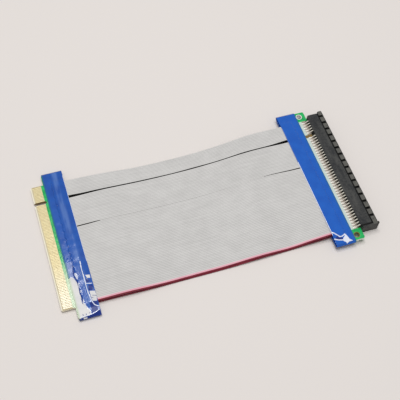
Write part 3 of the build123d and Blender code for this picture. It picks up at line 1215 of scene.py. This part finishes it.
@dataclass(frozen=True)
class Studio:
    """Plain floor, a soft light behind, a wide one overhead and an even pale surround."""

    floor_size: float = 3000.0
    light_place: tuple[float, float, float] = (-60.0, 465.0, 1200.0)
    light_size: float = 200.0
    light_power: float = 2.2
    fill_place: tuple[float, float, float] = (0.0, 0.0, 1500.0)
    fill_size: float = 900.0
    fill_power: float = 13.1
    surround: float = 0.34
    mirrored: float = 0.4
    backdrop: float = 0.8
    tint: Colour = (1.0, 0.99, 0.98, 1.0)

    @staticmethod
    def _light(name: str, place: Sequence[float], size: float, power: float) -> bpy.types.Object:
        """Adds a square light that points at the riser.

        Args:
            name: The light's name.
            place: Where it stands, in millimetres.
            size: Length of its side, in millimetres.
            power: Its power in watts.

        Returns:
            The light.
        """
        data = bpy.data.lights.new(name, "AREA")
        data.shape = "SQUARE"
        data.size = size * MM
        data.energy = power
        light = bpy.data.objects.new(name, data)
        light.location = Vector(place) * MM
        light.rotation_euler = (-Vector(place)).to_track_quat("-Z", "Y").to_euler()
        bpy.context.scene.collection.objects.link(light)
        return light

    def make(self) -> None:
        """Builds the floor, the lights and the world."""
        half = self.floor_size / 2
        corners = [(-half, -half, 0), (half, -half, 0), (half, half, 0), (-half, half, 0)]
        floor = make_piece("floor", np.array(corners), [(0, 1, 2, 3)], [FloorFinish().make()])
        self._light("behind", self.light_place, self.light_size, self.light_power)
        fill = self._light("overhead", self.fill_place, self.fill_size, self.fill_power)
        fill.visible_glossy = False
        world = bpy.data.worlds.new("surround")
        world.use_nodes = True
        tree = world.node_tree
        mirror = add_node(tree, "ShaderNodeLightPath", output="Is Glossy Ray")
        seen = add_node(tree, "ShaderNodeLightPath", output="Is Camera Ray")
        strength = self.surround + mirror * (self.mirrored - self.surround)
        strength = strength + seen * (self.backdrop - self.surround)
        background = tree.nodes["Background"]
        background.inputs["Color"].default_value = self.tint
        tree.links.new(strength.socket, background.inputs["Strength"])
        bpy.context.scene.world = world


@dataclass
class Riser:
    """The whole riser: what each sub-assembly is made of and how it is finished."""

    grid: ContactGrid = field(default_factory=ContactGrid)
    housing_rounding: float = 0.14
    contact_rounding: float = 0.05
    inner_solder_from: float = 83.3
    inner_solder_length: float = 1.2
    inner_solder_height: float = 0.2
    outer_solder_from: float = 81.35
    outer_solder_length: float = 2.9
    outer_solder_height: float = 0.42
    outer_solder_width: float = 1.5
    joint_height: float = 0.24
    narrow_draws: tuple[tuple[float, float, float], ...] = (
        (-68, 10, 0.4), (-53, 12, 0.4), (-28, 22, -0.4), (4, 11, -0.4), (50, 12, 1.0),
    )
    wide_sags: tuple[tuple[float, float, float], ...] = ((42, 17, 4.0),)
    wide_draw: tuple[float, float, float] = (-48, 20, 0.5)
    upper_draw: tuple[float, float, float] = (0, 45, 0.5)
    lower_draw: tuple[float, float, float] = (0, 45, 1.1)
    seen_step: float = 0.2
    hidden_step: float = 0.4

    def dress_boards(self) -> None:
        """Finishes both circuit boards and the card-edge fingers."""
        cream, mint = srgb(236, 228, 204), srgb(206, 226, 214)
        edge = BoardFinish("edge_laminate", -200, -91.0, 60, srgb(252, 246, 226), cream)
        # The card edge's mask takes painted glare towards its near end, and its key gap painted shade.
        edge = replace(edge, key_bare=srgb(142, 118, 72), faded_from=8.0, faded_to=30.0)
        # A painted shadow line where the bevel meets the fingers.
        edge = replace(edge, dull_from=-96.9, dull=srgb(190, 174, 132))
        pale = srgb(236, 250, 236)
        socket = BoardFinish("socket_laminate", 79.8, 200, 42.4, mint, pale, 81.95, 46.5)
        # Painted shade between and beside the socket's pins.
        socket = replace(socket, dull_from=82.0, dull=srgb(172, 160, 146), shaded_from=84.6)
        dress("edge_board", edge.make())
        dress("socket_board", socket.make())
        gold = MetalFinish("gold_plate", srgb(231, 218, 172), srgb(217, 201, 154), 0.45, 0.3)
        # The gold grows paler towards its near end: a painted reflection.
        gold = replace(gold, pale=srgb(240, 237, 227), pale_from=8.0, pale_to=40.0)
        gold_plate = gold.make()
        for layer in Layer:
            dress(f"edge_fingers_{layer.word}", gold_plate)

    def dress_socket(self) -> None:
        """Finishes the housing, its contacts and their solder."""
        plastic = MouldedFinish().make()
        dress("socket_housing", plastic, self.housing_rounding)
        CavityWalls(self.grid).make(plastic)
        tin = MetalFinish("tinned_metal", srgb(244, 240, 226), srgb(226, 220, 202), 0.4, 0.3)
        # Painted shade on the outer legs where they drop to the board.
        tin = replace(tin, tarnished_from=84.2, tarnish=srgb(214, 202, 192), tarnished_to=84.6).make()
        solder = MetalFinish("solder", srgb(252, 248, 240), srgb(238, 230, 220), 0.3, 0.28).make()
        pads = MetalFinish("pad_tin", srgb(226, 234, 230), srgb(206, 220, 216), 0.3, 0.3)
        # Painted shade on the pads from a set X on.
        pads = replace(pads, tarnished_from=82.0, tarnish=srgb(172, 160, 146)).make()
        # The inner contacts take darker tin and near-black painted shade, for the shade between the
        # outer legs.
        inner = MetalFinish("inner_tin", srgb(192, 180, 168), srgb(166, 154, 142), 0.4, 0.35)
        inner = replace(inner, tarnished_from=84.7, tarnish=srgb(30, 27, 22), tarnished_to=86.3).make()
        places = self.grid.places()
        pad_top = box_of("socket_pads_top")[1][2]
        pad_bottom = box_of("socket_pads_bottom")[0][2]
        for layer in Layer:
            word = layer.word
            dress(f"socket_pads_{word}", pads)
            dress(f"contacts_inner_{word}", inner, self.contact_rounding)
            dress(f"contacts_outer_{word}", tin, self.contact_rounding)
            base = pad_top if layer is Layer.TOP else pad_bottom
            SolderRow(
                f"inner_solder_{word}",
                places[0::2],
                self.inner_solder_from,
                self.inner_solder_length,
                base,
                layer.value,
                self.inner_solder_height,
            ).make(inner)
            SolderRow(
                f"outer_solder_{word}",
                places[1::2],
                self.outer_solder_from,
                self.outer_solder_length,
                base,
                layer.value,
                self.outer_solder_height,
                self.outer_solder_width,
            ).make(solder)

    def make_joints(self) -> None:
        """Builds the soldered conductor ends that lie under the tapes."""
        solder = MetalFinish("joint_solder", srgb(236, 234, 228), srgb(206, 202, 194), 0.7, 0.3).make()
        places = self.grid.places()
        for end in End:
            for layer in Layer:
                node = f"{end.value}_wires_{layer.word}"
                low, high = box_of(node)
                base = low[2] if layer is Layer.TOP else high[2]
                length = high[0] - low[0]
                name = f"{end.value}_joints_{layer.word}"
                row = SolderRow(name, places, low[0], length, base, layer.value, self.joint_height)
                row.make(solder, node)

    def make_ribbons(self) -> None:
        """Builds the six ribbed ribbons."""
        # Plain grey, painted shade for the valleys and the slit sides, and painted light and painted
        # shade copies of the red marked wire.
        finishes = (
            InsulationFinish("grey_insulation", srgb(219, 217, 215), srgb(208, 206, 204)),
            InsulationFinish("grey_web", srgb(197, 196, 194), srgb(187, 186, 184)),
            InsulationFinish("slit_side", srgb(40, 39, 37), srgb(26, 25, 24)),
            InsulationFinish("red_insulation_lit", srgb(238, 186, 198), srgb(226, 166, 180)),
            InsulationFinish("red_insulation", srgb(142, 48, 64), srgb(118, 38, 52)),
        )
        materials = [finish.make() for finish in finishes]
        for layer in Layer:
            for width in Width:
                top, wide = layer is Layer.TOP, width is Width.WIDE
                ribbon = Ribbon(f"ribbon_{layer.word}_{width.word}", width.value, wide)
                ribbon.closes_far = wide
                ribbon.closes_near = width is Width.MIDDLE
                ribbon.slit_far = width is not Width.NARROW
                ribbon.slit_near = not wide
                ribbon.slit_depth = 0 if top else 2 * ribbon.points_each
                ribbon.slit_lip = int(width is Width.MIDDLE)
                if width is Width.NARROW:
                    ribbon.draws = self.narrow_draws
                elif wide:
                    ribbon.sags = self.wide_sags
                    ribbon.draws = (self.wide_draw, self.upper_draw if top else self.lower_draw)
                ribbon.make(materials)

    def edge_folds(self) -> tuple[Fold, ...]:
        """Creases, bubbles and patches of the upper tape at the card edge, with painted highlights,
        reflections, sheen and shade.
        """
        shade_state, highlight_state, reflection_state, sheen_state = list(FilmState)[1:]
        # Dots of painted sheen on the joints' bumps.
        dots = (
            (-86.1, 0.5), (-84.7, -3.6), (-84.8, -7.9), (-84.8, -11.7), (-84.9, -14.0), (-84.8, -17.4),
            (-87.2, -12.0),
        )
        specks = ((-86.6, -48.2), (-84.9, -48.3), (-82.9, -47.9))
        return (
            Crease(((-89.2, 50.7), (-76.6, 50.7)), 0, 1, 0.25, shade_state),
            Crease(((-76.6, 46.0), (-76.6, -16.0)), 0, 1, 0.15, highlight_state),
            Facet(
                (
                    (-89.3, -13.6), (-84.7, -14.4), (-85.3, -18.1), (-85.9, -23.2), (-86.3, -24.7),
                    (-89.3, -24.6),
                ),
                sheen_state,
            ),
            Facet(
                (
                    (-89.3, -24.6), (-87.7, -23.8), (-86.3, -24.7), (-85.9, -26.0), (-85.1, -28.6),
                    (-85.1, -31.9), (-85.3, -34.7), (-85.2, -37.0), (-85.5, -40.6), (-84.8, -42.0),
                    (-83.9, -43.0), (-83.7, -44.8), (-82.5, -46.6), (-81.9, -48.1), (-82.0, -49.6),
                    (-85.6, -49.9), (-89.3, -50.2),
                ),
                reflection_state,
            ),
            Facet(
                ((-79.6, -25.0), (-77.2, -25.4), (-77.1, -27.4), (-79.1, -27.2)),
                reflection_state, tilt=(0.07, 0),
            ),
            Facet(((-79.9, -27.0), (-77.8, -29.5), (-80.2, -30.0)), shade_state, tilt=(0, -0.12)),
            Facet(
                ((-79.6, -31.8), (-77.1, -31.9), (-77.4, -35.3), (-80.0, -35.2)),
                shade_state, tilt=(0, 0.1),
            ),
            Facet(
                (
                    (-79.7, -35.5), (-76.9, -36.1), (-76.4, -39.0), (-77.1, -42.5), (-79.5, -42.0),
                    (-79.9, -38.9),
                ),
                reflection_state, tilt=(0.05, 0),
            ),
            Facet(((-79.5, -42.2), (-76.8, -42.8), (-77.1, -44.7), (-78.5, -44.5)), shade_state),
            Facet(
                (
                    (-81.6, -42.6), (-80.1, -42.4), (-78.7, -45.0), (-77.4, -46.2), (-77.9, -47.9),
                    (-81.3, -48.8), (-81.3, -46.0),
                ),
                shade_state,
            ),
            Facet(
                (
                    (-89.3, -50.3), (-82.0, -49.7), (-78.4, -48.6), (-76.9, -47.9), (-76.5, -50.9),
                    (-89.3, -50.9),
                ),
                shade_state,
            ),
            Facet(((-86.8, -50.3), (-84.6, -50.2), (-84.9, -50.9), (-86.6, -50.9)), reflection_state),
            Crease(
                (
                    (-85.1, -17.2), (-85.5, -20.5), (-85.9, -23.0), (-85.5, -25.0), (-85.0, -28.0),
                    (-84.9, -30.9), (-85.0, -33.4), (-85.2, -35.2), (-84.9, -37.2), (-84.9, -39.9),
                    (-85.2, -41.7),
                ),
                -0.1, 0.3, 0.24, shade_state,
            ),
            Crease(
                (
                    (-80.4, -15.6), (-80.8, -20.3), (-80.8, -23.2), (-80.7, -25.3), (-80.7, -28.4),
                    (-80.8, -31.7), (-80.8, -34.1), (-80.6, -36.9), (-80.3, -39.8), (-79.9, -42.2),
                    (-79.0, -44.3), (-77.8, -45.3), (-76.7, -45.9),
                ),
                0.12, 0.3, 0.27,
            ),
            Crease(
                ((-85.1, -41.4), (-84.1, -42.4), (-83.6, -44.4), (-82.4, -46.4), (-81.8, -48.1)),
                0.06, 0.3, 0.22,
            ),
            Crease(((-80.5, -30.4), (-77.3, -31.1)), 0.06, 0.3, 0.22),
            Crease(((-78.6, -38.6), (-76.7, -39.2)), -0.06, 0.3, 0.16, shade_state),
            Crease(((-79.7, -39.6), (-78.6, -40.0)), -0.06, 0.3, 0.16, shade_state),
            Facet(
                (
                    (-85.3, -22.0), (-84.6, -22.1), (-83.9, -23.7), (-84.2, -26.2), (-84.8, -26.5),
                    (-85.0, -24.8), (-85.4, -23.3),
                ),
                highlight_state, tilt=(0.1, 0),
            ),
            Facet(((-85.0, -41.1), (-84.2, -39.1), (-83.9, -41.1)), highlight_state, tilt=(0.1, 0)),
            Crease(((-84.8, -17.4), (-84.8, -17.8)), 0.1, 0.3, 0.3),
            Crease(((-84.5, -29.0), (-84.8, -31.7)), 0.1, 0.3, 0.24),
            Crease(((-84.3, -33.8), (-84.5, -34.8)), 0.1, 0.3, 0.3),
            Crease(
                ((-88.7, -49.7), (-85.6, -49.6), (-81.3, -49.2), (-79.2, -48.6), (-77.0, -47.7)),
                0.04, 0.25, 0.22,
            ),
            *(Crease(((x, y), (x, y - 0.3)), 0.08, 0.35, 0.28, sheen_state) for x, y in dots),
            *(Crease(((x, y), (x, y - 0.7)), 0, 1, 0.2, shade_state) for x, y in specks),
        )

    def socket_folds(self) -> tuple[Fold, ...]:
        """Creases of the upper tape at the socket, most of them near its loose corner, with painted
        highlights, sheen and shade.
        """
        shade_state, highlight_state, _, sheen_state = list(FilmState)[1:]
        return (
            Crease(((67.3, 50.7), (79.9, 50.7)), 0, 1, 0.25, shade_state),
            Crease(((67.3, 40.0), (67.3, 12.0)), 0, 1, 0.35, sheen_state),
            Crease(((67.3, 12.0), (67.3, -42.6)), 0, 1, 0.42, highlight_state),
            Facet(
                ((69.5, -44.2), (72.2, -45.4), (72.9, -46.7), (72.2, -47.6), (67.6, -46.0)),
                shade_state, tilt=(0, 0.1),
            ),
            Crease(
                ((68.0, -41.3), (70.0, -43.6), (71.4, -45.1), (72.9, -45.1), (74.9, -44.2)),
                0.2, 0.5, 0.34,
            ),
            Crease(((67.4, -45.7), (69.7, -46.9), (72.4, -47.6)), 0.2, 0.5, 0.36),
            Facet(
                (
                    (75.0, -44.0), (75.8, -45.3), (76.4, -48.0), (78.0, -49.6), (75.6, -49.5),
                    (73.9, -50.4), (73.4, -49.4), (72.2, -48.1), (72.7, -46.6), (74.3, -45.4),
                ),
                highlight_state, tilt=(0.12, 0.03),
            ),
        )

    def tape_finishes(self) -> list[bpy.types.Material]:
        """The painted shade, painted highlight, painted reflection and painted sheen looks of the film,
        in the order of the states.
        """
        shade_state = TapeFinish(
            "doubled_tape", srgb(22, 52, 140), srgb(16, 40, 116), srgb(20, 60, 110), roughness=0.3
        )
        highlight_state = TapeFinish(
            "milky_crease", srgb(236, 239, 248), srgb(220, 226, 244), srgb(220, 232, 220)
        )
        reflection_state = TapeFinish(
            "frosted_tape", srgb(236, 234, 230), srgb(208, 208, 212), srgb(190, 212, 166), roughness=0.45
        )
        sheen_state = TapeFinish("hazed_tape", srgb(110, 130, 188), srgb(84, 108, 176), srgb(80, 150, 120))
        return [finish.make() for finish in (shade_state, highlight_state, reflection_state, sheen_state)]

    def make_tapes(self) -> None:
        """Builds the four strips of tape."""
        creased = self.tape_finishes()
        edge_film = TapeFinish("edge_tape", srgb(30, 90, 180), srgb(24, 74, 160), streak_at=-81.5).make()
        socket_film = TapeFinish("socket_tape", srgb(28, 98, 196), srgb(22, 86, 182)).make()
        for layer in Layer:
            top = layer is Layer.TOP
            edge = Tape(End.EDGE, layer, self.grid, self.edge_folds() if top else ())
            edge.slant = 1.7 if top else 0.0
            edge.step = self.seen_step if top else self.hidden_step
            edge.make([edge_film, *creased])
            socket = Tape(End.SOCKET, layer, self.grid, self.socket_folds() if top else ())
            socket.bump_height = 0.03
            socket.step_width = 1.2
            socket.crest_level = 1.8
            socket.wrinkle = 0.02
            socket.step = self.seen_step if top else self.hidden_step
            socket.make([socket_film, *creased])


def main() -> None:
    """Builds the riser, the studio and the camera."""
    logging.basicConfig(level=logging.INFO)
    bpy.context.scene.view_settings.view_transform = "Standard"
    Viewpoint().make()
    Studio().make()
    riser = Riser()
    riser.dress_boards()
    riser.make_ribbons()
    riser.make_joints()
    riser.make_tapes()
    riser.dress_socket()


if __name__ == "__main__":
    main()
